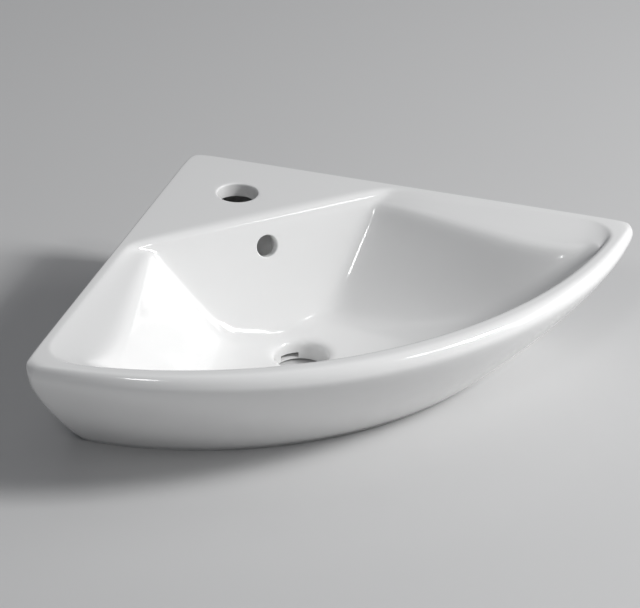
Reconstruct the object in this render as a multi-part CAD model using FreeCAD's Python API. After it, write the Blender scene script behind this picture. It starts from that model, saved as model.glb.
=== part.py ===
import FreeCAD, Part
import math
import os

Vec = FreeCAD.Vector

# Everything is in millimetres. The pieces are built with the room corner at x = y = 0, the diagonal of the
# corner along -Y and the foot at z = 0. "Reach" is a distance from the room corner, "drop" one below the rim.

# ---- Outside of the ceramic
height = 116.0             # foot to rim top
front_reach = 400.0        # to the crest of the front rim, on the diagonal
rim_arc = 400.0            # plan radius of that crest
rim_roll = 12.0            # height of the rounding over the outside of the rim
rim_roll_in = 10.0         # its run, on the diagonal
tip_radius = 8.0           # plan rounding where the crest meets a wall
foot_setback = 83.5        # how far the foot's edge lies behind the crest, on the diagonal
foot_arc_less = 95.0       # how much tighter its plan curve is
foot_tip_radius = 22.0     # plan rounding where the foot's edge meets a wall
hull_power = 1.22          # how the front turns under: 1 is a straight slope, more is fuller
corner_radius = 11.0       # upright edge in the room corner

# ---- Deck, rim and bowl
deck_depth = 139.0         # to the deck's front edge, on the diagonal
rim_width = 20.0           # crest to the inner edge of the front rim
mouth_arc_more = 5.0       # how much flatter the plan curve of that inner edge is
mouth_roll = 7.0           # rounding over the inside of the rim and the deck's front edge
mouth_back_round = 24.0    # plan rounding of the mouth beside the deck
mouth_tip_round = 26.0     # and at its two front corners
side_rim = 10.0            # wall to the inner edge of the rim beside it
rim_fall = 4.5             # run of the front rim's inner side, down to the depth of the ledges
ledge_drop = 11.0          # rim top to the ledge's inner edge, at its front end
ledge_drop_back = 6.5      # and beside the deck
ledge_back = 23.0          # wall to the ledge's inner edge, beside the deck
ledge_front = 62.0         # wall to the ledge's inner edge, at its front end
ledge_tip_back = 66.0      # front rim's inner edge to the ledge's front end
ledge_back_round = 16.0    # plan rounding of the ledge's edge beside the deck
ledge_tip_round = 24.0     # and at its front end
bowl_depth = 96.0          # rim top to the lip of the waste hole
floor_fall = 6.0           # fall of the bowl's floor to the lip
back_lean = 0.28           # run over rise of the bowl's back wall
back_narrowing = 0.70      # how fast each end of the back wall closes in with depth
floor_half = 105.0         # half width of the floor, at its front
floor_front = 77.0         # waste centre to the floor's front edge
floor_back = 38.0          # and to its back edge
floor_tip_back = 27.0      # the floor's two front corners lie this far behind its front edge
floor_back_round = 24.0    # plan rounding of the floor beside the back wall
floor_tip_round = 46.0     # and at its two front corners
lip_radius = 5.0           # rolled edge of the waste hole

# ---- Holes
tap_back = 50.5            # deck's front edge to the tap hole's centre
tap_radius = 17.5          # standard 35 mm tap hole
overflow_drop = 25.0
overflow_radius = 9.5
waste_front = 73.0         # deck's front edge to the waste hole's centre
waste_radius = 22.5        # standard 45 mm waste hole
fixing_reach = 125.0       # room corner to a fixing, along its wall
fixing_drop = 72.0
fixing_radius = 8.0

# ---- Hidden side
shell = 11.0               # fired thickness of the bowl and the rear walls
deck_thick = 12.0
foot_band = 15.0           # width of the foot along the front
boss_radius = 39.0         # seat for the back nut of a waste
boss_lift = 2.0            # the seat clears the foot's plane by this
duct_width = 26.0          # overflow duct, inside
duct_depth = 14.0          # inside, behind the bowl
duct_gap = 6.0             # inside, under the floor
duct_floor = 5.0           # ceramic under the duct
duct_wall = 7.0            # ceramic on its other sides

# ---- Fixings, one set through each rear wall
bolt_radius = 4.0          # M8 hanger bolt
bolt_spare = 6.0           # thread past the nut
plug_radius = 6.0          # wall plug
plug_length = 44.0
plug_bottom = 3.0          # closed end of the wall plug
bush_flange_radius = 13.0
bush_flange_thick = 3.0
washer_radius = 11.0
washer_thick = 1.6
nut_across = 13.0
nut_height = 6.5
running = 0.25             # clearance round each bolt and each bush

diagonal = math.sqrt(0.5)
foot_reach = front_reach - foot_setback
foot_arc = rim_arc - foot_arc_less
mouth_reach = front_reach - rim_width
tap_reach = deck_depth - tap_back
waste_reach = deck_depth + waste_front
middle = -0.5 * (front_reach + corner_radius * (math.sqrt(2.0) - 1.0))


# ---- Outside: plan curves of the front, stacked and lofted between the two wall planes

def off_wall(along, off):
    """Plan point a distance along the right-hand wall and another off it, into the room."""
    return (along - off) * diagonal, -(along + off) * diagonal


def tip_centre(reach, arc, radius, off):
    """Centre of a tip's rounding, which touches the line at off from the wall and the front arc."""
    arc_y = arc - reach
    near, far = 0.0, 2.0 * reach
    for _ in range(60):
        along = 0.5 * (near + far)
        x, y = off_wall(along, off + radius)
        if math.hypot(x, y - arc_y) < arc - radius:
            near = along
        else:
            far = along
    return x, y, arc_y


def front_curve(z, reach, arc, radius, off):
    """Wire from the left wall, round both tips and the front, to the right wall."""
    cx, cy, arc_y = tip_centre(reach, arc, radius, off)
    start = math.pi / 4
    end = math.atan2(cy - arc_y, cx)

    def on_tip(angle, side):
        return Vec(side * (cx + radius * math.cos(angle)), cy + radius * math.sin(angle), z)

    def tip(side):
        return Part.Arc(on_tip(start, side), on_tip(0.5 * (start + end), side), on_tip(end, side)).toShape()

    front = Part.Arc(on_tip(end, -1), Vec(0, -reach, z), on_tip(end, 1)).toShape()
    return Part.Wire([tip(-1), front, tip(1)])


def front_stations(inset=0.0):
    """Height, reach, arc and tip radius of each plan curve, from the rim top to the foot."""
    stations = []
    for k in range(5):
        turn = k * math.pi / 8
        back = rim_roll_in * (1 - math.sin(turn))
        stations.append((rim_roll * (1 - math.cos(turn)), front_reach - back, rim_arc + 1.4 * back,
                         tip_radius + back))
    for share in (0.08, 0.2, 0.4, 0.6, 0.8, 1.0):
        turn = share ** hull_power
        stations.append((rim_roll + share * (height - rim_roll),
                         front_reach + (foot_reach - front_reach) * turn,
                         rim_arc + (foot_arc - rim_arc) * turn,
                         tip_radius + (foot_tip_radius - tip_radius) * turn))
    return [(height - drop, reach - inset, arc - inset, radius) for drop, reach, arc, radius in stations]


def flat_face(edges):
    return Part.Face(Part.Wire(Part.__sortEdges__(edges)))


def closed(faces):
    skin = Part.makeShell(faces)
    skin.sewShape()
    solid = Part.makeSolid(skin)
    if solid.Volume < 0:
        solid.reverse()
    return solid


def front_and_walls(stations, off):
    """Faces of the lofted front, the two flat walls and the rounded corner, with the edges of both ends."""
    front = Part.makeLoft([front_curve(*s, off) for s in stations], False, False, False, 3)
    uses = {}
    for face in front.Faces:
        for edge in face.Edges:
            uses.setdefault(edge.hashCode(), []).append(edge)
    free = [found[0] for found in uses.values() if len(found) == 1]
    upright = [e for e in free if e.BoundBox.ZLength > 1.0]
    back = -off / diagonal
    z_ends = stations[0][0], stations[-1][0]
    ends, lines, arcs = [], {-1: [], 1: []}, []
    for z in z_ends:
        across = [e for e in free if e.BoundBox.ZLength < 1.0 and abs(e.CenterOfMass.z - z) < 1.0]
        left = Vec(-corner_radius * diagonal, back - corner_radius * diagonal, z)
        right = Vec(-left.x, left.y, z)
        nearest = Vec(0, back - corner_radius * (math.sqrt(2.0) - 1.0), z)
        arcs.append(Part.Arc(left, nearest, right).toShape())
        for side, touch in ((-1, left), (1, right)):
            tip = [v.Point for e in upright for v in e.Vertexes if v.X * side > 0 and abs(v.Z - z) < 0.01][0]
            lines[side].append(Part.makeLine(touch, tip))
        ends.append(across + [arcs[-1], lines[-1][-1], lines[1][-1]])
    faces = front.Faces + [arcs[0].extrude(Vec(0, 0, z_ends[1] - z_ends[0]))]
    for side in (-1, 1):
        touch = [Vec(side * corner_radius * diagonal, back - corner_radius * diagonal, z) for z in z_ends]
        faces.append(flat_face([e for e in upright if e.CenterOfMass.x * side > 0] + lines[side]
                               + [Part.makeLine(*touch)]))
    return faces, ends


# ---- Bowl: one smooth skin over rings of poles, each ring a rounded outline with a straight back

def blend(first, second, share):
    return [a + (b - a) * share for a, b in zip(first, second)]


def ring(outline, z, grow):
    """Poles round an outline, each moved out by grow: the right half, then the left."""
    back, half, tip_x, tip_reach, front, back_round, tip_round = outline
    arc_back = (tip_x ** 2 + tip_reach ** 2 - front ** 2) / (2 * (front - tip_reach))
    arc = front + arc_back
    length = math.hypot(tip_x - half, tip_reach - back)
    ux, uy = (tip_x - half) / length, (tip_reach - back) / length
    nx, ny = uy, -ux
    bx, by = half - back_round * (1 + ny) / nx, back + back_round
    px, py = half - tip_round * nx, back - tip_round * ny
    toward = px * ux + (py + arc_back) * uy
    spare = px ** 2 + (py + arc_back) ** 2 - (arc - tip_round) ** 2
    run = -toward + math.sqrt(toward ** 2 - spare)
    cx, cy = px + run * ux, py + run * uy
    begin = (bx - half) * ux + back_round * uy
    side_angle = math.atan2(ny, nx)
    tip_angle = math.atan2(cy + arc_back, cx)
    right = []

    def add(x, reach, angle):
        right.append(Vec(x + grow * math.cos(angle), -(reach + grow * math.sin(angle)), z))

    for k in range(3):
        add(bx * k / 3, back, -math.pi / 2)
    for k in range(3):
        angle = -math.pi / 2 + (side_angle + math.pi / 2) * k / 2
        add(bx + back_round * math.cos(angle), by + back_round * math.sin(angle), angle)
    for k in range(1, 6):
        at = begin + (run - begin) * k / 6
        add(half + at * ux, back + at * uy, side_angle)
    for k in range(5):
        angle = side_angle + (tip_angle - side_angle) * k / 4
        add(cx + tip_round * math.cos(angle), cy + tip_round * math.sin(angle), angle)
    for k in range(1, 8):
        angle = tip_angle + (math.pi / 2 - tip_angle) * k / 7
        add(arc * math.cos(angle), arc * math.sin(angle) - arc_back, angle)
    return right + [Vec(-p.x, p.y, z) for p in reversed(right[1:-1])]


def beside_ledge(pole):
    """How much a pole of the right half, by its number in the ring, belongs to the ledge's side."""
    return (0, 0, 0, 0, 0.3, 0.7, 1, 1, 1, 1, 1, 1, 0.8, 0.5, 0.2)[pole] if pole < 15 else 0


def at_tip(pole):
    """How much it takes part in the flare of the ledge's front end."""
    return (0.03, 0.12, 0.34, 0.50, 0.48, 0.28, 0.08)[pole - 10] if 10 <= pole <= 16 else 0


def each_pole(row, change):
    """The row with each pole replaced by what change makes of it and of its number in its own half."""
    return [change(p, min(k, len(row) - k)) for k, p in enumerate(row)]


def sunk(row, middle, back, front):
    """Row lowered by middle, and along a ledge by a drop that goes from back to front."""
    def change(p, pole):
        beside = back + (front - back) * min(1.0, max(0.0, (pole - 5) / 5))
        return Vec(p.x, p.y, p.z - middle - (beside - middle) * beside_ledge(pole))
    return each_pole(row, change)


def flared(row, rim, amount):
    """Row drawn out and up to the rim at its front corners, where the ledges run into the rim."""
    drawn = []
    for k, (p, end) in enumerate(zip(row, rim)):
        out = amount * at_tip(min(k, len(row) - k))
        drawn.append(Vec(p.x + (end.x - p.x) * out, p.y + (end.y - p.y) * out,
                         p.z + (end.z - p.z) * min(1.0, 1.2 * out)))
    return drawn


def round_ring(like, radius, z, share=1.0):
    """Poles drawn by share toward a circle round the waste hole, each in line with its neighbour above."""
    drawn = []
    for p in like:
        angle = math.atan2(p.y + waste_reach, p.x)
        x, y = radius * math.cos(angle), radius * math.sin(angle) - waste_reach
        drawn.append(Vec(p.x + (x - p.x) * share, p.y + (y - p.y) * share, z))
    return drawn


def mouth_outline():
    """Inner edge of the rim: its side lines run along the walls and end on the front arc."""
    shift = side_rim / diagonal
    arc = rim_arc + mouth_arc_more
    arc_back = arc - mouth_reach
    lean = arc_back - shift
    reach = (-lean + math.sqrt(lean ** 2 - 2 * (shift ** 2 + arc_back ** 2 - arc ** 2))) / 2
    return [deck_depth, deck_depth - shift, reach - shift, reach, mouth_reach, mouth_back_round, mouth_tip_round]


def ledge_outline():
    """Soft edge where a ledge turns down into the bowl."""
    tip_reach = mouth_reach - ledge_tip_back
    return [deck_depth + back_lean * ledge_drop, deck_depth - ledge_back / diagonal,
            tip_reach - ledge_front / diagonal, tip_reach, mouth_reach - rim_fall, ledge_back_round,
            ledge_tip_round]


def floor_outline():
    front = waste_reach + floor_front
    fall = bowl_depth - floor_fall
    return [waste_reach - floor_back, ledge_outline()[1] - back_narrowing * (fall - ledge_drop), floor_half,
            front - floor_tip_back, front, floor_back_round, floor_tip_round]


def bowl_rings(grow):
    """Rings of the bowl from the rim down; the grown ones, for the underside, end in a flat."""
    mouth, ledge, floor = mouth_outline(), ledge_outline(), floor_outline()
    top = height - grow
    side_drop = 0.15 * ledge_drop_back
    rim = sunk(ring(mouth, top, grow), 0.4 * mouth_roll, side_drop, side_drop)
    if grow:
        rows = [ring(mouth, top, grow), rim]
    else:
        rows = [ring(mouth, top, mouth_roll), ring(mouth, top, 0.4 * mouth_roll), rim]
    for share, middle, back, front in ((0.25, 0.5, 0.37, 0.22), (0.6, 0.73, 0.62, 0.50), (1.0, 1.0, 1.0, 1.0)):
        row = ring(blend(mouth, ledge, share), top, grow)
        rows.append(flared(sunk(row, middle * ledge_drop, back * ledge_drop_back, front * ledge_drop), rim, share))
    fall = bowl_depth - floor_fall - ledge_drop
    foot_run = floor[0] - deck_depth - back_lean * (ledge_drop + fall)
    for share, inward in ((0.12, 0.10), (0.36, 0.25), (0.62, 0.43), (0.84, 0.66), (1.0, 1.0)):
        drop = ledge_drop + share * fall
        wall = blend(ledge, floor, inward)
        wall[0] = deck_depth + back_lean * drop + foot_run * share ** 6
        wall[1] = blend(ledge, floor, share)[1]
        wall[4] = blend(ledge, floor, share ** 2)[4]
        rows.append(flared(ring(wall, top - drop, grow), rim, (1.0 - share) ** 3))
    lip = top - bowl_depth
    low = rows[-1]
    rows.append(round_ring(low, waste_radius + 2.4 * lip_radius, lip + 0.4 * floor_fall, 0.5))
    if grow:
        return rows + [round_ring(low, waste_radius + 2.4 * lip_radius, lip)]
    for out, drop in ((2.2, -0.1), (1.2, 0.0), (0.3, 0.4), (-0.4, 1.6)):
        rows.append(round_ring(low, waste_radius + out * lip_radius, lip - drop * lip_radius))
    return rows


def bowl_skin(grow):
    """Face through the rings, with its upper and lower edges."""
    rows = bowl_rings(grow)
    across, down = len(rows[0]), len(rows)
    poles = [[row[k] for row in rows] for k in range(across)]
    skin = Part.BSplineSurface()
    skin.buildFromPolesMultsKnots(poles, [1] * (across + 1), [4] + [1] * (down - 4) + [4],
                                  list(range(across + 1)), list(range(down - 2)), True, False, 3, 3)
    face = skin.toShape()
    low, top = sorted([e for e in face.Edges if e.isClosed()], key=lambda e: e.CenterOfMass.z)
    return face, top, low


# ---- Ceramic body

def duct(grow):
    """Overflow duct: down behind the bowl and forward under its floor to the waste hole."""
    low = boss_lift + (0.0 if grow else duct_floor)
    over = boss_lift + duct_floor + duct_gap + grow
    top = height - overflow_drop + overflow_radius + 4.0 + grow
    near = shell - 4.0 - grow
    far = shell - 4.0 + duct_depth + grow
    front = -waste_reach + waste_radius - 2.0

    def behind(z, off):
        return off - deck_depth - back_lean * (height - z)

    path = [Vec(0, behind(top, near), top), Vec(0, behind(over, near), over), Vec(0, front, over),
            Vec(0, front, low), Vec(0, behind(low, far), low), Vec(0, behind(top, far), top)]
    width = duct_width + 2 * grow
    block = Part.Face(Part.makePolygon(path + [path[0]])).extrude(Vec(width, 0, 0))
    block.translate(Vec(-0.5 * width, 0, 0))
    return block


def fixing_axis(side):
    """Where a fixing crosses the back of its wall, and the direction into the room."""
    x, y = off_wall(fixing_reach, 0.0)
    return Vec(side * x, y, height - fixing_drop), Vec(-side * diagonal, -diagonal, 0)


def rod(side, radius, start, end):
    """Cylinder on a fixing's axis, between two distances from the back of the wall."""
    at, into = fixing_axis(side)
    return Part.makeCylinder(radius, end - start, at + into * start, into)


def cavity():
    """Space under the deck and round the bowl, open at the foot."""
    faces, (top, foot) = front_and_walls(front_stations(foot_band), shell)
    space = closed(faces + [flat_face(top), flat_face(foot)])
    span = 3.0 * front_reach
    lid = Part.makeBox(span, span, height, Vec(-0.5 * span, -0.5 * span, height - deck_thick))
    skin, upper, lower = bowl_skin(shell)
    bowl = closed([skin, flat_face([upper]), flat_face([lower])])
    boss = Part.makeCylinder(boss_radius, height - bowl_depth, Vec(0, -waste_reach, boss_lift))
    return space.cut(lid).cut(bowl).cut(boss).cut(duct(duct_wall))


def basin():
    faces, (top, foot) = front_and_walls(front_stations(), 0.0)
    skin, upper, lower = bowl_skin(0.0)
    deck = Part.Face([Part.Wire(Part.__sortEdges__(top)), Part.Wire([upper])])
    body = closed(faces + [deck, skin, flat_face([lower]), flat_face(foot)])
    body = body.cut(cavity()).cut(duct(0.0))
    tap = Part.makeCylinder(tap_radius, 2 * deck_thick, Vec(0, -tap_reach, height - 1.5 * deck_thick))
    waste = Part.makeCylinder(waste_radius, height - bowl_depth + 6.0, Vec(0, -waste_reach, 0.0))
    back = deck_depth + back_lean * overflow_drop
    overflow = Part.makeCylinder(overflow_radius, shell + 8.0, Vec(0, -back - 8.0, height - overflow_drop),
                                 Vec(0, 1, 0))
    for hole in (tap, waste, overflow, rod(-1, fixing_radius, -1.0, shell + 1.0),
                 rod(1, fixing_radius, -1.0, shell + 1.0)):
        body = body.cut(hole)
    return body


# ---- Fixings

def wall_plug(side):
    plug = rod(side, plug_radius, -plug_length, 0.0)
    return plug.cut(rod(side, bolt_radius + 0.5 * running, plug_bottom - plug_length, 1.0))


def bush(side):
    """Sleeve through the rear wall with a flange against its inner face."""
    solid = rod(side, fixing_radius - running, 0.0, shell + bush_flange_thick)
    solid = solid.fuse(rod(side, bush_flange_radius, shell, shell + bush_flange_thick))
    return solid.cut(rod(side, bolt_radius + running, -1.0, shell + bush_flange_thick + 1.0)).removeSplitter()


def washer(side):
    start = shell + bush_flange_thick
    return rod(side, washer_radius, start, start + washer_thick).cut(
        rod(side, bolt_radius + running, start - 1.0, start + washer_thick + 1.0))


def nut(side):
    start = shell + bush_flange_thick + washer_thick
    at, into = fixing_axis(side)
    corner = nut_across / math.sqrt(3.0)
    sideways = Vec(-into.y, into.x, 0)
    at = at + into * start
    points = [at + sideways * (corner * math.cos(k * math.pi / 3)) + Vec(0, 0, corner * math.sin(k * math.pi / 3))
              for k in range(7)]
    prism = Part.Face(Part.makePolygon(points)).extrude(into * nut_height)
    return prism.cut(rod(side, bolt_radius + 0.2 * running, start - 1.0, start + nut_height + 1.0))


def wall_bolt(side):
    end = shell + bush_flange_thick + washer_thick + nut_height + bolt_spare
    solid = rod(side, bolt_radius, plug_bottom - plug_length + 0.5, end)
    rim = [e for e in solid.Edges if e.isClosed()]
    return solid.makeChamfer(0.6, rim)


def save(node, shape):
    shape.translate(Vec(0, -middle, 0))
    shape.exportStep("parts/" + node + ".step")


os.makedirs("parts", exist_ok=True)
save("basin", basin())
for side, name in ((-1, "left"), (1, "right")):
    save("wall_plug_" + name, wall_plug(side))
    save("wall_bolt_" + name, wall_bolt(side))
    save("bolt_bush_" + name, bush(side))
    save("washer_" + name, washer(side))
    save("nut_" + name, nut(side))
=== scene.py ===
import bpy
import math
from mathutils import Matrix, Vector


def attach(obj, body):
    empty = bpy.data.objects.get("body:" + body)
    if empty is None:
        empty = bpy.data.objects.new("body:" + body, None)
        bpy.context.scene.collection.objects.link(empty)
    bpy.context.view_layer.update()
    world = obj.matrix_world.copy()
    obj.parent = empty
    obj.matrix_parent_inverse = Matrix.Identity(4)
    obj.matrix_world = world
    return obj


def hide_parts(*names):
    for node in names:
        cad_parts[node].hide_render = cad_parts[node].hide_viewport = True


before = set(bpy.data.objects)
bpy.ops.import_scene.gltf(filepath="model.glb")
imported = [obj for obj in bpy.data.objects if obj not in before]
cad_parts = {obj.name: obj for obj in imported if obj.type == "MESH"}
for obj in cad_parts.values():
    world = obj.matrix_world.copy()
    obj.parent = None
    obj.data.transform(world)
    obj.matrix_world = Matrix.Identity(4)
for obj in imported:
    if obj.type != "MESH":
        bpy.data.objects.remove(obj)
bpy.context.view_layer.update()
mm = 0.001
mergeWithin = 1e-7
root2 = math.sqrt(2.0)
print("frame loaded")

# Sizes are in millimetres, from the room corner at x = 0 with the diagonal toward the front. "Reach" is
# a distance from that corner and "drop" one below the rim. middleY sets the corner's place in the frame.
middleY = 202.278


def place(x, reach, z):
    return Vector((x * mm, (middleY - reach) * mm, z * mm))


def deselectAll():
    if bpy.context.mode != 'OBJECT':
        bpy.ops.object.mode_set(mode='OBJECT')
    bpy.ops.object.select_all(action='DESELECT')


def useOnly(piece):
    deselectAll()
    piece.select_set(True)
    bpy.context.view_layer.objects.active = piece


def applyAll(piece):
    useOnly(piece)
    for modifier in list(piece.modifiers):
        bpy.ops.object.modifier_apply(modifier=modifier.name)


def tidy(piece):
    useOnly(piece)
    bpy.ops.object.mode_set(mode='EDIT')
    bpy.ops.mesh.select_all(action='SELECT')
    bpy.ops.mesh.remove_doubles(threshold=mergeWithin)
    bpy.ops.mesh.normals_make_consistent(inside=False)
    bpy.ops.object.mode_set(mode='OBJECT')


# A torus wrapped over rings of points, with the last ring joined to the first.
def ringSkin(name, rings):
    deselectAll()
    around, along = len(rings[0]), len(rings)
    bpy.ops.mesh.primitive_torus_add(major_segments=around, minor_segments=along, generate_uvs=False)
    piece = bpy.context.object
    piece.name = name
    for v in piece.data.vertices:
        v.co = rings[v.index % along][v.index // along]
    tidy(piece)
    return piece


# A circle drawn out through (radius, level) stations along z. A looped one joins its last station to its
# first, and any other is closed by caps.
def turned(name, stations, around, looped):
    deselectAll()
    radius, level = stations[0]
    bpy.ops.mesh.primitive_circle_add(vertices=around, radius=radius * mm, location=(0, 0, 0))
    piece = bpy.context.object
    piece.name = name
    bpy.ops.object.mode_set(mode='EDIT')
    bpy.ops.mesh.select_all(action='SELECT')
    bpy.ops.transform.translate(value=(0, 0, level * mm))
    for newRadius, newLevel in stations[1:]:
        rise = (newLevel - level) * mm
        bpy.ops.mesh.extrude_region_move(TRANSFORM_OT_translate={"value": (0, 0, rise)})
        scale = newRadius / radius
        bpy.ops.transform.resize(value=(scale, scale, 1), center_override=(0, 0, newLevel * mm))
        radius, level = newRadius, newLevel
    bpy.ops.mesh.select_all(action='DESELECT')
    bpy.ops.mesh.select_non_manifold()
    if looped:
        bpy.ops.mesh.bridge_edge_loops()
    else:
        bpy.ops.mesh.fill_holes(sides=0)
    bpy.ops.object.mode_set(mode='OBJECT')
    tidy(piece)
    return piece


def combine(piece, other, operation, useSelf=False):
    modifier = piece.modifiers.new("Combine", 'BOOLEAN')
    modifier.object = other
    modifier.operation = operation
    modifier.solver = 'EXACT'
    modifier.use_self = useSelf
    applyAll(piece)
    bpy.data.objects.remove(other, do_unlink=True)


basinSizes = {
    # the outside, from the rim's crest to the foot
    "height": 116.0, "frontReach": 400.0, "rimArc": 400.0, "rimRoll": 12.0, "rimRollIn": 10.0,
    "rimRollArc": 1.4, "rimRollPull": 1.026, "tipRadius": 8.0, "cornerRadius": 11.0, "rearRound": 1.6,
    "hullPower": 1.22, "footReach": 316.5, "footArc": 305.0, "footTipRadius": 22.0,
    # the deck's edge and the mouth of the bowl
    "deckDepth": 139.0, "deckRollMore": 7.0, "mouthReach": 380.0, "mouthArc": 405.0, "mouthRoll": 7.0,
    "mouthRollIn": 0.4, "mouthRollSoft": 0.45, "mouthSideSink": 0.15, "sideRim": 10.0,
    "mouthBackRound": 24.0, "mouthTipRound": 26.0, "rimFall": 4.5,
    # the ledges
    "ledgeDrop": 11.0, "ledgeDropBack": 6.5, "ledgeBack": 23.0, "ledgeFront": 62.0,
    "ledgeTipBack": 66.0, "ledgeBackRound": 16.0, "ledgeTipRound": 24.0, "flareLift": 1.2,
    # the bowl's walls and floor
    "bowlDepth": 96.0, "backLean": 0.28, "backNarrowing": 0.70, "wallFootPower": 6, "flarePower": 3,
    "floorFall": 6.0, "floorHalf": 105.0, "floorFront": 77.0, "floorBack": 38.0, "floorTipBack": 27.0,
    "floorBackRound": 24.0, "floorTipRound": 46.0, "lipRadius": 5.0,
    # the holes, each with the rounding of its edge and how deep it is cut
    "wasteReach": 212.0, "wasteRadius": 22.5,
    "tapReach": 88.5, "tapRadius": 17.5, "tapEdge": 1.6, "tapCut": 30.0,
    "overflowDrop": 25.0, "overflowRadius": 9.5, "overflowEdge": 1.3, "overflowCut": 13.0,
    "fixingReach": 125.0, "fixingDrop": 72.0, "fixingRadius": 8.0, "fixingEdge": 0.6, "fixingPast": 6.0,
    # the foot and the hollow underside
    "shell": 11.0, "deckThick": 12.0, "footBand": 15.0, "footRound": 1.4, "hollowTop": 97.0,
    "hollowTopShare": 0.04, "hollowBend": 100.0, "hollowTurn": 101.0, "bendIn": 4.0, "bendInWall": 2.0,
    "ceilingRound": 3.0, "meetGap": 4.0, "meetLift": 0.3,
    # the boss under the waste hole, and how close a ring stands to an edge that it keeps sharp
    "bossRadius": 39.0, "bossLift": 2.0, "bossFoot": 6.0, "bossRise": 3.0, "holdEdge": 1.0,
    # the overflow duct: its passage, its walls, and how far both reach into their neighbours
    "ductWidth": 26.0, "ductDepth": 14.0, "ductGap": 4.5, "ductFloor": 1.8, "ductRoof": 7.7,
    "ductWall": 7.0, "ductAbove": 4.0, "ductIntoShell": 4.0, "ductStart": 4.0, "ductLift": 0.4,
    "ductIntoBoss": 5.0, "ductIntoBore": 2.0,
    # the angle up to which the skin is shaded smooth
    "smoothAngle": 32,
}
b = basinSizes

# Poles of a half ring, by the stretch that they lie on, where those near the room corner stand in corner
# radii, and how far apart those on the wall are kept.
poles = {"back": 3, "corner": 3, "side": 5, "tip": 5, "front": 7}
wallPoles = poles["back"] + poles["corner"] + poles["side"]
deckPoles = 4
firstSidePole = 5
firstMeetPole = 12
cornerPoleIn = 0.30
cornerPoleAt = 1.1
wallSteps = (45.0, 100.0, 150.0)
wallPoleGap = 6.0
tipPoleGap = 8.0

# How much each pole belongs to the deck's edge, to the side of a ledge, and to the flare at its front end.
deckShare = [1.0, 1.0, 0.8, 0.5, 0.2]
sideShare = [0.0] * 4 + [0.3, 0.7] + [1.0] * 7 + [0.88, 0.68, 0.42, 0.20, 0.06] + [0.0] * 5
tipFlare = [0.0] * 10 + [0.04, 0.16, 0.38, 0.55, 0.57, 0.42, 0.22, 0.08] + [0.0] * 5

# Rings over the ledge: share of the way in, then of the drop in the middle, at the back and in front.
ledgeRows = ((0.25, 0.5, 0.45, 0.34), (0.6, 0.73, 0.72, 0.64), (1.0, 1.0, 1.0, 1.0))
# Rings down the bowl's walls: share of the way down and of the way in.
bowlRows = ((0.12, 0.10), (0.36, 0.25), (0.62, 0.43), (0.84, 0.66), (1.0, 1.0))
# Rings of the waste hole: heights in its bore, then how far out and how far down on its lip, in lip radii.
boreLevels = (6.0, 12.0)
lipRows = ((0.06, 1.0), (0.3, 0.4), (1.2, 0.0), (2.2, -0.1))
lipOuterRow = (2.4, 0.4)    # out in lip radii, and up as a share of the floor's fall
# Rings down the outside as shares of the way to the foot, and heights of those up the hollow's walls.
hullRows = (0.08, 0.2, 0.36, 0.52, 0.68, 0.84, 0.95)
hollowRows = (10.0, 30.0, 50.0, 70.0, 86.0)


def blend(first, second, share):
    return [p + (q - p) * share for p, q in zip(first, second)]


def mirrored(right):
    return [place(*p) for p in right] + [place(-x, reach, z) for x, reach, z in reversed(right[1:-1])]


# Right half of a rounded outline with a straight back, moved out by grow, as (x, reach, z) poles.
def bowlHalf(outline, z, grow):
    back, half, tipX, tipReach, front, backRound, tipRound = outline
    arcBack = (tipX ** 2 + tipReach ** 2 - front ** 2) / (2 * (front - tipReach))
    arc = front + arcBack
    length = math.hypot(tipX - half, tipReach - back)
    ux, uy = (tipX - half) / length, (tipReach - back) / length
    nx, ny = uy, -ux
    bx, by = half - backRound * (1 + ny) / nx, back + backRound
    px, py = half - tipRound * nx, back - tipRound * ny
    toward = px * ux + (py + arcBack) * uy
    spare = px ** 2 + (py + arcBack) ** 2 - (arc - tipRound) ** 2
    run = -toward + math.sqrt(toward ** 2 - spare)
    cx, cy = px + run * ux, py + run * uy
    begin = (bx - half) * ux + backRound * uy
    sideAngle = math.atan2(ny, nx)
    tipAngle = math.atan2(cy + arcBack, cx)
    row = []

    def add(x, reach, angle):
        row.append((x + grow * math.cos(angle), reach + grow * math.sin(angle), z))

    for k in range(poles["back"]):
        add(bx * k / poles["back"], back, -math.pi / 2)
    for k in range(poles["corner"]):
        angle = -math.pi / 2 + (sideAngle + math.pi / 2) * k / (poles["corner"] - 1)
        add(bx + backRound * math.cos(angle), by + backRound * math.sin(angle), angle)
    for k in range(1, poles["side"] + 1):
        at = begin + (run - begin) * k / (poles["side"] + 1)
        add(half + at * ux, back + at * uy, sideAngle)
    for k in range(poles["tip"]):
        angle = sideAngle + (tipAngle - sideAngle) * k / (poles["tip"] - 1)
        add(cx + tipRound * math.cos(angle), cy + tipRound * math.sin(angle), angle)
    for k in range(1, poles["front"] + 1):
        angle = tipAngle + (math.pi / 2 - tipAngle) * k / poles["front"]
        add(arc * math.cos(angle), arc * math.sin(angle) - arcBack, angle)
    row[0] = (0.0, row[0][1], z)
    row[-1] = (0.0, row[-1][1], z)
    return row


# The outlines give, in this order: reach of the back, half its width, x and reach of the tip, reach of
# the front, and the roundings at the back and at the tip.
def mouthOutline():
    shift = b["sideRim"] * root2
    arcBack = b["mouthArc"] - b["mouthReach"]
    lean = arcBack - shift
    reach = (-lean + math.sqrt(lean ** 2 - 2 * (shift ** 2 + arcBack ** 2 - b["mouthArc"] ** 2))) / 2
    return [b["deckDepth"], b["deckDepth"] - shift, reach - shift, reach, b["mouthReach"],
            b["mouthBackRound"], b["mouthTipRound"]]


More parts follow.
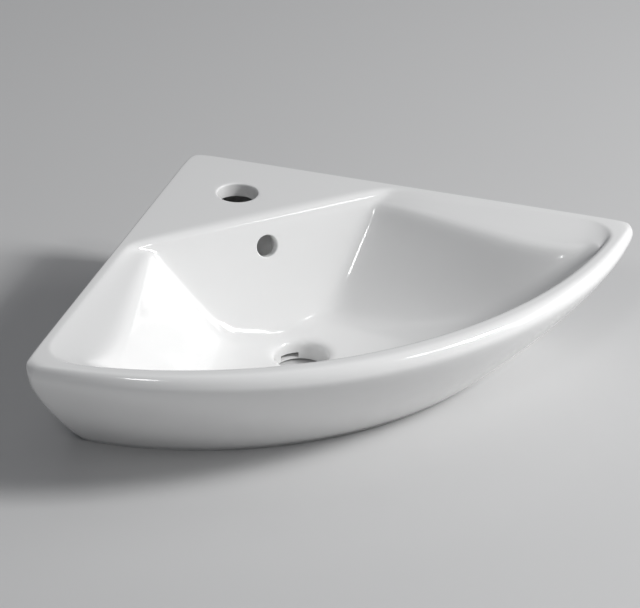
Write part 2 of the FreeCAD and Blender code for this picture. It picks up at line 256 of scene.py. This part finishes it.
def ledgeOutline():
    tipReach = b["mouthReach"] - b["ledgeTipBack"]
    return [b["deckDepth"] + b["backLean"] * b["ledgeDrop"], b["deckDepth"] - b["ledgeBack"] * root2,
            tipReach - b["ledgeFront"] * root2, tipReach, b["mouthReach"] - b["rimFall"],
            b["ledgeBackRound"], b["ledgeTipRound"]]


def floorOutline():
    front = b["wasteReach"] + b["floorFront"]
    fall = b["bowlDepth"] - b["floorFall"]
    return [b["wasteReach"] - b["floorBack"],
            ledgeOutline()[1] - b["backNarrowing"] * (fall - b["ledgeDrop"]), b["floorHalf"],
            front - b["floorTipBack"], front, b["floorBackRound"], b["floorTipRound"]]


# A half ring lowered by middle, and along the ledge by a drop that goes from back to front.
def sunk(half, top, middle, back, front):
    lowered = []
    for k, (x, reach, _) in enumerate(half):
        beside = back + (front - back) * min(1.0, max(0.0, (k - firstSidePole) / poles["side"]))
        lowered.append((x, reach, top - middle - (beside - middle) * sideShare[k]))
    return lowered


# A half ring drawn out and up to the rim at its front corner, where the ledge runs into the rim.
def flared(half, rim, amount):
    drawn = []
    for (x, reach, z), (rimX, rimReach, rimZ), share in zip(half, rim, tipFlare):
        out, up = amount * share, min(1.0, b["flareLift"] * amount * share)
        drawn.append((x + (rimX - x) * out, reach + (rimReach - reach) * out, z + (rimZ - z) * up))
    return drawn


# A half ring moved back under the deck's front edge, which is rounded more than the rim.
def softened(half, amount):
    for k, share in enumerate(deckShare):
        x, reach, z = half[k]
        half[k] = (x, reach - amount * b["deckRollMore"] * share, z)
    return half


# Half rings of the bowl, from the rim down to the floor's edge.
def bowlHalves(grow):
    mouth, ledge, floor = mouthOutline(), ledgeOutline(), floorOutline()
    top = b["height"] - grow
    drop, dropBack = b["ledgeDrop"], b["ledgeDropBack"]
    rollIn = b["mouthRollIn"] * b["mouthRoll"]
    sideSink = b["mouthSideSink"] * dropBack
    rim = sunk(bowlHalf(mouth, top, grow), top, rollIn, sideSink, sideSink)
    rows = [softened(bowlHalf(mouth, top, grow + b["mouthRoll"]), 1.0),
            softened(bowlHalf(mouth, top, grow + rollIn), b["mouthRollSoft"]), rim]
    for share, middle, back, front in ledgeRows:
        row = bowlHalf(blend(mouth, ledge, share), top, grow)
        rows.append(flared(sunk(row, top, middle * drop, back * dropBack, front * drop), rim, share))
    fall = b["bowlDepth"] - b["floorFall"] - drop
    footRun = floor[0] - b["deckDepth"] - b["backLean"] * (drop + fall)
    for share, inward in bowlRows:
        level = drop + share * fall
        wall = blend(ledge, floor, inward)
        wall[0] = b["deckDepth"] + b["backLean"] * level + footRun * share ** b["wallFootPower"]
        wall[1] = blend(ledge, floor, share)[1]
        wall[4] = blend(ledge, floor, share ** 2)[4]
        rows.append(flared(bowlHalf(wall, top - level, grow), rim, (1.0 - share) ** b["flarePower"]))
    return rows


# A half ring drawn by share toward a circle round the waste hole, each pole in line with its neighbour.
def roundHalf(half, radius, z, share=1.0):
    drawn = []
    for x, reach, _ in half:
        angle = math.atan2(reach - b["wasteReach"], x)
        newX, newReach = radius * math.cos(angle), radius * math.sin(angle) + b["wasteReach"]
        drawn.append((x + (newX - x) * share, reach + (newReach - reach) * share, z))
    drawn[0] = (0.0, drawn[0][1], z)
    drawn[-1] = (0.0, drawn[-1][1], z)
    return drawn


# Right half of an outer ring: along the wall at off from it, round the tip and along the front arc.
def outerHalf(guide, reach, arc, tipRadius, off, zWall, zFront):
    arcY = reach - arc
    near, far = 0.0, 2.0 * reach
    for _ in range(50):    # halving finds how far along the wall the tip lies
        along = 0.5 * (near + far)
        cx, cy = (along - off - tipRadius) / root2, (along + off + tipRadius) / root2
        if math.hypot(cx, cy - arcY) < arc - tipRadius:
            near = along
        else:
            far = along
    half = []
    steps = (0.0, cornerPoleAt * b["cornerRadius"]) + wallSteps
    for k in range(wallPoles):
        if k < len(steps):
            at = steps[k] + off
        else:
            at = (guide[k][0] + guide[k][1]) / root2
        at = min(at, along - (wallPoles - 1 - k) * wallPoleGap - tipPoleGap)
        half.append([(at - off) / root2, (at + off) / root2, zWall])
    half[0] = [0.0, off * root2 + cornerPoleIn * b["cornerRadius"], zWall]
    end = math.atan2(cy - arcY, cx)
    for k in range(poles["tip"]):
        share = k / (poles["tip"] - 1)
        angle = -math.pi / 4 + (end + math.pi / 4) * share
        level = zWall + (zFront - zWall) * share * share * (3 - 2 * share)
        half.append([cx + tipRadius * math.cos(angle), cy + tipRadius * math.sin(angle), level])
    # poles stand a little outside the arc, so that the rounded skin lies on it
    pull = 3.0 / (2.0 + math.cos((math.pi / 2 - end) / poles["front"]))
    for k in range(1, poles["front"] + 1):
        angle = end + (math.pi / 2 - end) * k / poles["front"]
        half.append([pull * arc * math.cos(angle), arcY + pull * arc * math.sin(angle), zFront])
    half[-1][0] = 0.0
    return half


# Reach, plan radius and tip radius of the front at a share of the way from its crest to the foot.
def hullAt(share):
    turn = share ** b["hullPower"]
    return (b["frontReach"] + (b["footReach"] - b["frontReach"]) * turn,
            b["rimArc"] + (b["footArc"] - b["rimArc"]) * turn,
            b["tipRadius"] + (b["footTipRadius"] - b["tipRadius"]) * turn)


# The point of a rising curve at a height.
def atHeight(curve, z):
    for low, high in zip(curve, curve[1:]):
        if z <= high[2]:
            break
    share = (z - low[2]) / (high[2] - low[2])
    return blend(low, high, share)


# Toward the front the bowl comes closer to the outside than the hollow's wall does, so there both are cut
# off at the height where they meet.
def meet(walls, bend, turn, lower):
    middle, step = b["wasteReach"], 0.5
    for k in range(firstMeetPole, len(sideShare)):
        wall = [list(w[k]) for w in walls]
        bowl = [list(w[k]) for w in reversed(lower)]
        foot, floor, top, crest = wall[0][2], bowl[0][2], wall[-1][2], bowl[-1][2]
        level = floor + 2 * step
        while level < crest:
            x, reach, _ = atHeight(bowl, level)
            wallX, wallReach, _ = atHeight(wall, level)
            if math.hypot(x, reach - middle) + b["meetGap"] > math.hypot(wallX, wallReach - middle):
                break
            level += step
        for w in walls:
            w[k] = atHeight(wall, foot + (w[k][2] - foot) * (level - foot) / (top - foot))
        for w in lower:
            w[k] = atHeight(bowl, floor + (w[k][2] - floor) * (level - floor) / (crest - floor))
        bend[k] = blend(walls[-1][k], lower[0][k], 0.33)
        turn[k] = blend(walls[-1][k], lower[0][k], 0.67)
        bend[k][2] += b["meetLift"] * b["meetGap"]
        turn[k][2] += b["meetLift"] * b["meetGap"]


# Rings of the ceramic's whole skin. The two numbers returned with them say at which ring the outside
# begins, whose faces on the walls are unglazed, and at which the unglazed foot and underside begin.
def basinRings():
    height, roll, hold = b["height"], b["rimRoll"], b["holdEdge"]
    inside = bowlHalves(0.0)
    guide, floor = inside[0], inside[-1]
    lip = height - b["bowlDepth"]
    bore, low = b["wasteRadius"], b["bossLift"]
    # up the bore of the waste hole and over its lip
    rings = [roundHalf(floor, bore, level) for level in (low + hold,) + boreLevels]
    for out, drop in lipRows:
        rings.append(roundHalf(floor, bore + out * b["lipRadius"], lip - drop * b["lipRadius"]))
    out, rise = lipOuterRow
    rings.append(roundHalf(floor, bore + out * b["lipRadius"], lip + rise * b["floorFall"], 0.5))
    # up the bowl to the rim
    rings += list(reversed(inside))
    rings.append(softened(bowlHalf(mouthOutline(), height, b["mouthRoll"] + hold), 1.0))
    # over the rim's outer edge
    edge, steps = b["rearRound"], 4
    for k in range(steps + 1):
        turn = k * math.pi / (2 * steps)
        back = b["rimRollIn"] * (1 - b["rimRollPull"] * math.sin(turn))
        small = edge * (1 - math.sin(turn))
        rings.append(outerHalf(guide, b["frontReach"] - back, b["rimArc"] + b["rimRollArc"] * back,
                               b["tipRadius"] + max(back, 0), small, height - edge * (1 - math.cos(turn)),
                               height - roll * (1 - math.cos(turn))))
    # down the outside
    rearFrom = len(rings)
    for share in hullRows:
        level = (height - roll) * (1 - share)
        rings.append(outerHalf(guide, *hullAt(share), 0.0, level, level))
    reach, arc, tip = hullAt(1.0)
    edge, band, inner = b["footRound"], b["footBand"], b["shell"]
    rings.append(outerHalf(guide, reach, arc, tip, 0.0, edge, edge))
    rings.append(outerHalf(guide, reach, arc, tip, 0.0, 0.0, 0.0))
    # across the foot
    bareFrom = len(rings)
    rings.append(outerHalf(guide, reach - edge, arc - edge, tip, edge, 0.0, 0.0))
    rings.append(outerHalf(guide, reach - band + edge, arc - band + edge, tip, inner - edge, 0.0, 0.0))
    rings.append(outerHalf(guide, reach - band, arc - band, tip, inner, 0.0, 0.0))
    rings.append(outerHalf(guide, reach - band, arc - band, tip, inner, edge, edge))
    # up the walls of the hollow and over to the underside of the bowl
    walls = [rings[-1]]
    for level in hollowRows:
        reach, arc, tip = hullAt(1 - level / (height - roll))
        walls.append(outerHalf(guide, reach - band, arc - band, tip, inner, level, level))
    under = bowlHalves(b["shell"])
    ceiling = height - b["deckThick"]
    reach, arc, tip = hullAt(b["hollowTopShare"])
    level = b["hollowTop"]
    walls.append(outerHalf(guide, reach - band, arc - band, tip, inner, level, level))
    level = b["hollowBend"]
    bend = outerHalf(guide, reach - band - b["bendIn"], arc - band - b["bendIn"], tip,
                     inner + b["bendInWall"], level, level)
    atLedge = 2 + len(ledgeRows)
    skin = under[atLedge]
    turn = [[0.5 * (p[0] + q[0]), 0.5 * (p[1] + q[1]), b["hollowTurn"]] for p, q in zip(walls[-1], skin)]
    deckEdge = [list(p) for p in skin]
    for k in range(deckPoles):
        walls[-1][k][2] = ceiling - b["ceilingRound"]
        bend[k][2] = ceiling
        turn[k][2] = ceiling
        deckEdge[k][2] = ceiling
    lower = [deckEdge] + under[atLedge + 1:]
    meet(walls, bend, turn, lower)
    rings += walls[1:] + [bend, turn] + lower
    # down the boss and back under it to the bore
    seat, roof = b["bossRadius"], lip - b["shell"]
    rings.append(roundHalf(under[-1], seat + b["bossFoot"], roof + b["bossRise"], 0.5))
    rings.append(roundHalf(floor, seat + b["bossFoot"], roof + hold))
    for radius, level in ((seat + hold, roof), (seat, boreLevels[0]), (seat, low + hold), (seat, low),
                          (seat - hold, low), (bore + hold, low), (bore, low)):
        rings.append(roundHalf(floor, radius, level))
    return [mirrored(r) for r in rings], rearFrom, bareFrom


# A round cutter along axis with a flared mouth, so that the hole it leaves has a rounded edge.
def pillar(name, at, axis, radius, length, flare):
    proud, steps, around = 4.0, 6, 96
    stations = [(radius, -length), (radius, -flare)]
    for k in range(1, steps + 1):
        angle = k * math.pi / (2 * steps)
        stations.append((radius + flare * (1 - math.cos(angle)), -flare + flare * math.sin(angle)))
    stations.append((radius + flare, proud))
    cutter = turned(name, stations, around, False)
    turn = Vector((0, 0, 1)).rotation_difference(Vector(axis)).to_matrix().to_4x4()
    cutter.data.transform(Matrix.Translation(at) @ turn)
    return cutter


# A flat plate of the duct's side view, drawn out over its width.
def ductBlock(name, path, half):
    deselectAll()
    bpy.ops.mesh.primitive_circle_add(vertices=len(path), radius=0.1)
    block = bpy.context.object
    block.name = name
    for v, (reach, z) in zip(block.data.vertices, path):
        v.co = place(-half, reach, z)
    bpy.ops.object.mode_set(mode='EDIT')
    bpy.ops.mesh.select_all(action='SELECT')
    bpy.ops.mesh.edge_face_add()
    bpy.ops.mesh.extrude_region_move(TRANSFORM_OT_translate={"value": (2 * half * mm, 0, 0)})
    bpy.ops.object.mode_set(mode='OBJECT')
    tidy(block)
    return block


# The overflow duct's side view: down behind the bowl and forward under its floor. near and far are its
# two depths behind the bowl's back wall.
def ductPath(near, far, top, over, low, front):
    def behind(z, off):
        return b["deckDepth"] + b["backLean"] * (b["height"] - z) - off

    return [(behind(top, near), top), (behind(over, near), over), (front, over), (front, low),
            (behind(low, far), low), (behind(top, far), top)]


def fixingAxis(side):
    across = b["fixingReach"] / root2
    return place(side * across, across, b["height"] - b["fixingDrop"]), Vector((-side, -1, 0)).normalized()


def addDuct(basin):
    low, wall, half = b["bossLift"], b["ductWall"], 0.5 * b["ductWidth"]
    top = b["height"] - b["overflowDrop"] + b["overflowRadius"] + b["ductAbove"]
    over = low + b["ductFloor"] + b["ductGap"]
    near = b["shell"] - b["ductIntoShell"]
    outer = ductPath(b["ductStart"], near + b["ductDepth"] + wall, top + wall, over + b["ductRoof"],
                     low + b["ductLift"], b["wasteReach"] - b["bossRadius"] + b["ductIntoBoss"])
    combine(basin, ductBlock("DuctOutside", outer, half + wall), 'UNION', True)
    inner = ductPath(near, near + b["ductDepth"], top, over, low + b["ductFloor"],
                     b["wasteReach"] - b["wasteRadius"] + b["ductIntoBore"])
    combine(basin, ductBlock("DuctInside", inner, half), 'DIFFERENCE')


def cutHoles(basin):
    up = (0, 0, 1)
    at = place(0, b["tapReach"], b["height"])
    combine(basin, pillar("TapCut", at, up, b["tapRadius"], b["tapCut"], b["tapEdge"]), 'DIFFERENCE')
    back = b["deckDepth"] + b["backLean"] * b["overflowDrop"]
    lean = Vector((0, -1, b["backLean"])).normalized()
    at = place(0, back, b["height"] - b["overflowDrop"])
    combine(basin, pillar("OverflowCut", at, lean, b["overflowRadius"], b["overflowCut"],
                          b["overflowEdge"]), 'DIFFERENCE')
    for side in (-1, 1):
        at, into = fixingAxis(side)
        combine(basin, pillar("FixingCut", at, -into, b["fixingRadius"], b["shell"] + b["fixingPast"],
                              b["fixingEdge"]), 'DIFFERENCE')


def makeBasin():
    rings, rearFrom, bareFrom = basinRings()
    basin = ringSkin("Basin", rings)
    bare, rear = set(range(bareFrom, len(rings))), set(range(rearFrom, bareFrom))
    around = len(rings[0])
    for face in basin.data.polygons:
        numbers = {v % len(rings) for v in face.vertices}
        onWall = all(min(v // len(rings), around - v // len(rings)) <= wallPoles for v in face.vertices)
        if numbers <= bare or (numbers <= bare | rear and onWall):
            face.material_index = 1
    smooth = basin.modifiers.new("Round", 'SUBSURF')
    smooth.levels = 2
    smooth.render_levels = 2
    applyAll(basin)
    print("basin skin", len(basin.data.polygons))
    addDuct(basin)
    cutHoles(basin)
    print("basin cut", len(basin.data.polygons))
    return basin


def smoothBy(piece, degrees):
    useOnly(piece)
    bpy.ops.object.shade_smooth_by_angle(angle=math.radians(degrees))


basin = makeBasin()

# The fixings are turned about the z axis, with z = 0 on the outer face of the rear wall and z into the
# room, and then set on the two walls. The plug's ribs are measured from its mouth and from each other.
plugSizes = {
    "radius": 6.0, "length": 44.0, "bore": 4.125, "bottom": 3.0, "collar": 2.0, "around": 48,
    "ribStart": 3.0, "ribPitch": 4.0, "ribDepth": 0.7, "ribFlat": 0.6, "ribCrest": 3.2, "ribEnd": 3.6,
    "plainEnd": 5.0, "noseLength": 1.4, "noseStart": 1.0, "noseEnd": 2.0,
    "slitWidth": 1.0, "slitSpan": 14.0, "slitStart": 10.0, "slitEnd": 4.0,
}


def makePlug():
    p = plugSizes
    end = -p["length"]
    valley = p["radius"] - p["ribDepth"]
    outside = [(p["bore"], 0.0), (p["radius"], 0.0), (p["radius"], -p["collar"])]
    at = -p["ribStart"]
    while at - p["ribPitch"] > end + p["plainEnd"]:
        outside += [(valley, at), (valley, at - p["ribFlat"]), (p["radius"], at - p["ribCrest"]),
                    (p["radius"], at - p["ribEnd"])]
        at -= p["ribPitch"]
    outside += [(valley, at), (p["radius"] - p["noseStart"], end + p["noseLength"]),
                (p["radius"] - p["noseEnd"], end)]
    plug = turned("WallPlug", outside, p["around"], False)
    bore = turned("PlugBore", [(p["bore"], 1.0), (p["bore"], end + p["bottom"])], p["around"], False)
    combine(plug, bore, 'DIFFERENCE')
    high, deep = -p["slitStart"], end + p["slitEnd"]
    shape = Matrix.Diagonal((p["slitSpan"] * mm, p["slitWidth"] * mm, (high - deep) * mm, 1.0))
    middle = Matrix.Translation((0, 0, 0.5 * (high + deep) * mm))
    for turn in (0.0, 90.0):
        deselectAll()
        bpy.ops.mesh.primitive_cube_add(size=1.0, location=(0, 0, 0))
        slit = bpy.context.object
        slit.data.transform(Matrix.Rotation(math.radians(turn), 4, 'Z') @ middle @ shape)
        combine(plug, slit, 'DIFFERENCE')
    return plug


boltSizes = {
    "radius": 4.0, "start": -40.5, "end": 28.1, "around": 32, "shankStep": 1.0,
    "screwEnd": -4.0, "screwDepth": 0.9, "screwPitch": 3.0, "screwStep": 0.3, "screwSharp": 3.2,
    "pointLength": 7.0, "pointShare": 0.25,
    "threadStart": 3.0, "threadDepth": 0.6, "threadPitch": 1.25, "threadStep": 0.15625,
    "endLength": 0.8, "endSlope": 0.9,
}


# A grid rolled up into a rod whose radius follows a wood thread, a plain shank and a machine thread.
def makeBolt():
    p = boltSizes
    around = p["around"]
    levels = []
    at = p["start"]
    while at < p["end"]:
        levels.append(at)
        if at < p["screwEnd"]:
            at += p["screwStep"]
        elif at > p["threadStart"]:
            at += p["threadStep"]
        else:
            at += p["shankStep"]
    levels.append(p["end"])
    deselectAll()
    bpy.ops.mesh.primitive_grid_add(x_subdivisions=around, y_subdivisions=len(levels) - 1, size=1.0)
    bolt = bpy.context.object
    bolt.name = "HangerBolt"
    across = around + 1
    for v in bolt.data.vertices:
        level = levels[v.index // across]
        angle = 2 * math.pi * (v.index % across % around) / around
        radius = p["radius"]
        if level < p["screwEnd"]:
            turns = (level - p["start"]) / p["screwPitch"] - angle / (2 * math.pi)
            ridge = max(0.0, 1.0 - p["screwSharp"] * abs(turns % 1.0 - 0.5))
            radius -= p["screwDepth"] * (1.0 - ridge)
            rest = 1.0 - p["pointShare"]
            radius *= min(1.0, p["pointShare"] + rest * (level - p["start"]) / p["pointLength"])
        elif level > p["threadStart"]:
            turns = level / p["threadPitch"] - angle / (2 * math.pi)
            radius -= p["threadDepth"] * abs(2.0 * (turns % 1.0) - 1.0)
            radius -= max(0.0, level - p["end"] + p["endLength"]) * p["endSlope"]
        v.co = Vector((radius * math.cos(angle), radius * math.sin(angle), level)) * mm
    tidy(bolt)
    useOnly(bolt)
    bpy.ops.object.mode_set(mode='EDIT')
    bpy.ops.mesh.select_all(action='DESELECT')
    bpy.ops.mesh.select_non_manifold()
    bpy.ops.mesh.fill_holes(sides=0)
    bpy.ops.object.mode_set(mode='OBJECT')
    tidy(bolt)
    return bolt


bushSizes = {
    "bore": 4.25, "radius": 7.75, "flange": 13.0, "thick": 3.0, "around": 96,
    "boreEdge": 0.4, "noseEdge": 0.6, "flangeUnder": 0.3, "flangeEdge": 0.8, "flangeBevel": 0.25,
}


def makeBush():
    p = bushSizes
    bore, radius, flange, seat = p["bore"], p["radius"], p["flange"], b["shell"]
    end = seat + p["thick"]
    return turned("BoltBush", [
        (bore, p["boreEdge"]), (bore + p["boreEdge"], 0.0), (radius - p["noseEdge"], 0.0),
        (radius, p["noseEdge"]), (radius, seat), (flange - p["flangeUnder"], seat),
        (flange, seat + p["flangeUnder"]), (flange, end - p["flangeEdge"]),
        (flange - p["flangeBevel"], end - p["flangeBevel"]), (flange - p["flangeEdge"], end),
        (bore + p["boreEdge"], end), (bore, end - p["boreEdge"])], p["around"], True)


washerSizes = {
    "bore": 4.25, "radius": 11.0, "thick": 1.6, "around": 96,
    "underEdge": 0.1, "rollDeep": 0.35, "rollIn": 0.4, "rollSide": 0.12, "rollTop": 0.1, "boreEdge": 0.15,
}


def makeWasher():
    p = washerSizes
    bore, radius = p["bore"], p["radius"]
    start = b["shell"] + bushSizes["thick"]
    end = start + p["thick"]
    return turned("Washer", [
        (bore, start), (radius - p["underEdge"], start), (radius, start + p["underEdge"]),
        (radius, end - p["rollDeep"]), (radius - p["rollSide"], end - p["rollTop"]),
        (radius - p["rollIn"], end), (bore + p["boreEdge"], end), (bore, end - p["boreEdge"])],
        p["around"], True)


nutSizes = {
    "across": 13.0, "height": 6.5, "bore": 4.05, "crownIn": 0.3, "crownSlope": 0.577, "crownAround": 96,
    "mouthOut": 1.6, "mouthProud": 1.0, "mouthDeep": 0.6, "boreAround": 64,
}


def makeNut():
    p = nutSizes
    start = b["shell"] + bushSizes["thick"] + washerSizes["thick"]
    end = start + p["height"]
    corner = p["across"] / math.sqrt(3.0)
    nut = turned("Nut", [(corner, start), (corner, end)], 6, False)
    slope = p["crownSlope"] * (corner - 0.5 * p["across"] + p["crownIn"])
    face = 0.5 * p["across"] - p["crownIn"]
    crown = turned("Crown", [(face, start), (corner, start + slope), (corner, end - slope), (face, end)],
                   p["crownAround"], False)
    combine(nut, crown, 'INTERSECT')
    bore, mouth = p["bore"], p["bore"] + p["mouthOut"]
    drill = turned("Drill", [(mouth, start - p["mouthProud"]), (bore, start + p["mouthDeep"]),
                             (bore, end - p["mouthDeep"]), (mouth, end + p["mouthProud"])],
                   p["boreAround"], False)
    combine(nut, drill, 'DIFFERENCE')
    return nut


# The left one is the piece as turned, and the right one a copy of it, named after it.
def setOnWalls(piece, node):
    pieces = []
    useOnly(piece)
    bpy.ops.object.duplicate()
    other = bpy.context.object
    for one, side, hand in ((piece, -1, "left"), (other, 1, "right")):
        at, into = fixingAxis(side)
        sideways = Vector((0, 0, 1)).cross(into)
        turn = Matrix((sideways, into.cross(sideways), into)).transposed().to_4x4()
        one.data.transform(Matrix.Translation(at) @ turn)
        one.name = piece.name.split(".")[0] + hand.capitalize()
        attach(one, "root")
        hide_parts(node + "_" + hand)
        pieces.append(one)
    return pieces


# By node, with the angle up to which each fixing is shaded smooth.
fixingPlan = {
    "wall_plug": {"maker": makePlug, "smoothAngle": 35, "slot": "plug_nylon", "finish": "plugNylon"},
    "wall_bolt": {"maker": makeBolt, "smoothAngle": 50, "slot": "zinc_steel", "finish": "zincSteel"},
    "bolt_bush": {"maker": makeBush, "smoothAngle": 35, "slot": "bush_nylon", "finish": "bushNylon"},
    "washer": {"maker": makeWasher, "smoothAngle": 35, "slot": "zinc_steel", "finish": "zincSteel"},
    "nut": {"maker": makeNut, "smoothAngle": 25, "slot": "zinc_steel", "finish": "zincSteel"},
}
fixings = {}
for node, plan in fixingPlan.items():
    piece = plan["maker"]()
    smoothBy(piece, plan["smoothAngle"])
    fixings[node] = setOnWalls(piece, node)
    print(node, len(piece.data.polygons))

smoothBy(basin, b["smoothAngle"])
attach(basin, "root")
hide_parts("basin")

# grain is the scale of the noise that tilts the surface, by strength and depth, and spread the range over
# which the same noise varies the roughness.
finishes = {
    "whiteGlaze": {"color": (0.86, 0.86, 0.855, 1), "roughness": 0.09, "ior": 1.52,
                   "grain": 14.0, "detail": 1.0, "strength": 0.25, "depth": 0.0004},
    "bareClay": {"color": (0.74, 0.72, 0.68, 1), "roughness": 0.8, "spread": (0.72, 0.9),
                 "grain": 900.0, "detail": 3.0, "strength": 0.3, "depth": 0.00015},
    "zincSteel": {"color": (0.66, 0.67, 0.66, 1), "roughness": 0.32, "metallic": 1.0, "spread": (0.24, 0.42),
                  "grain": 1200.0, "detail": 3.0, "strength": 0.25, "depth": 0.00003},
    "bushNylon": {"color": (0.78, 0.77, 0.72, 1), "roughness": 0.45, "spread": (0.38, 0.52),
                  "grain": 700.0, "detail": 2.0, "strength": 0.2, "depth": 0.00005},
    "plugNylon": {"color": (0.34, 0.35, 0.36, 1), "roughness": 0.5, "spread": (0.42, 0.58),
                  "grain": 700.0, "detail": 2.0, "strength": 0.2, "depth": 0.00005},
    "paleFloor": {"color": (0.62, 0.62, 0.62, 1), "roughness": 0.9,
                  "grain": 30.0, "detail": 2.0, "strength": 0.1, "depth": 0.0005},
}


def newFinish(name):
    look = finishes[name]
    material = bpy.data.materials.new(name)
    material.use_nodes = True
    tree = material.node_tree
    shader = tree.nodes["Principled BSDF"]
    shader.inputs["Base Color"].default_value = look["color"]
    shader.inputs["Roughness"].default_value = look["roughness"]
    shader.inputs["Metallic"].default_value = look.get("metallic", 0.0)
    if "ior" in look:
        shader.inputs["IOR"].default_value = look["ior"]
    where = tree.nodes.new("ShaderNodeTexCoord")
    noise = tree.nodes.new("ShaderNodeTexNoise")
    noise.inputs["Scale"].default_value = look["grain"]
    noise.inputs["Detail"].default_value = look["detail"]
    tree.links.new(where.outputs["Object"], noise.inputs["Vector"])
    bump = tree.nodes.new("ShaderNodeBump")
    bump.inputs["Strength"].default_value = look["strength"]
    bump.inputs["Distance"].default_value = look["depth"]
    tree.links.new(noise.outputs["Fac"], bump.inputs["Height"])
    tree.links.new(bump.outputs["Normal"], shader.inputs["Normal"])
    if "spread" in look:
        spread = tree.nodes.new("ShaderNodeMapRange")
        spread.inputs["To Min"].default_value, spread.inputs["To Max"].default_value = look["spread"]
        tree.links.new(noise.outputs["Fac"], spread.inputs["Value"])
        tree.links.new(spread.outputs["Result"], shader.inputs["Roughness"])
    return material


made = {name: newFinish(name) for name in finishes}
basin.data.materials.clear()
basin.data.materials.append(made["whiteGlaze"])
basin.data.materials.append(made["bareClay"])
for node, plan in fixingPlan.items():
    for piece in fixings[node]:
        piece.data.materials.clear()
        piece.data.materials.append(made[plan["finish"]])
print("materials set")

studio = {
    "floorSize": 14.0, "worldColor": (0.9, 0.93, 1.0, 1), "worldStrength": 0.12,
    "cameraAt": (-1.00299, -1.844942, 1.21565), "lens": 160.11, "sensor": 36.0, "clipEnd": 50.0,
    "right": (0.88107, -0.47219, 0.02750), "up": (0.20607, 0.43554, 0.87626),
    "ahead": (0.42574, 0.76638, -0.48105),
}
deselectAll()
bpy.ops.mesh.primitive_plane_add(size=studio["floorSize"], location=(0, 0, 0))
floor = bpy.context.object
floor.name = "Floor"
floor.data.materials.append(made["paleFloor"])

camera = bpy.data.objects.new("Camera", bpy.data.cameras.new("Camera"))
bpy.context.collection.objects.link(camera)
axes = [Vector(studio["right"]), Vector(studio["up"]), -Vector(studio["ahead"])]
turn = Matrix([[axes[c][r] for c in range(3)] for r in range(3)])
camera.matrix_world = Matrix.Translation(Vector(studio["cameraAt"])) @ turn.to_4x4()
camera.data.lens = studio["lens"]
camera.data.sensor_width = studio["sensor"]
camera.data.clip_end = studio["clipEnd"]
bpy.context.scene.camera = camera

lights = {
    "KeyRight": {"at": (1.95, -1.45, 1.95), "aim": (0, 0, 0.08), "size": (0.6, 0.6), "power": 60.0},
    "HighRight": {"at": (1.4, -1.7, 2.25), "aim": (0, 0, 0.08), "size": (0.3, 0.3), "power": 7.0},
    "LowRight": {"at": (2.9, -1.0, 1.05), "aim": (0, 0, 0.1), "size": (2.0, 1.6), "power": 29.0},
    "Overhead": {"at": (0.2, 0.6, 2.6), "aim": (0, 0, 0.05), "size": (2.4, 1.6), "power": 5.0},
    "NearLeft": {"at": (-1.47, -1.74, 2.05), "aim": (0, 0, 0.08), "size": (0.35, 0.35), "power": 8.0},
}
for name, facts in lights.items():
    lamp = bpy.data.lights.new(name, 'AREA')
    lamp.shape = 'RECTANGLE'
    lamp.size, lamp.size_y = facts["size"]
    lamp.energy = facts["power"]
    holder = bpy.data.objects.new(name, lamp)
    bpy.context.collection.objects.link(holder)
    holder.location = facts["at"]
    away = Vector(facts["aim"]) - Vector(facts["at"])
    holder.rotation_euler = away.to_track_quat('-Z', 'Y').to_euler()

world = bpy.data.worlds.new("Studio")
world.use_nodes = True
world.node_tree.nodes["Background"].inputs["Color"].default_value = studio["worldColor"]
world.node_tree.nodes["Background"].inputs["Strength"].default_value = studio["worldStrength"]
bpy.context.scene.world = world
bpy.context.scene.view_settings.view_transform = 'Standard'
print("studio set")
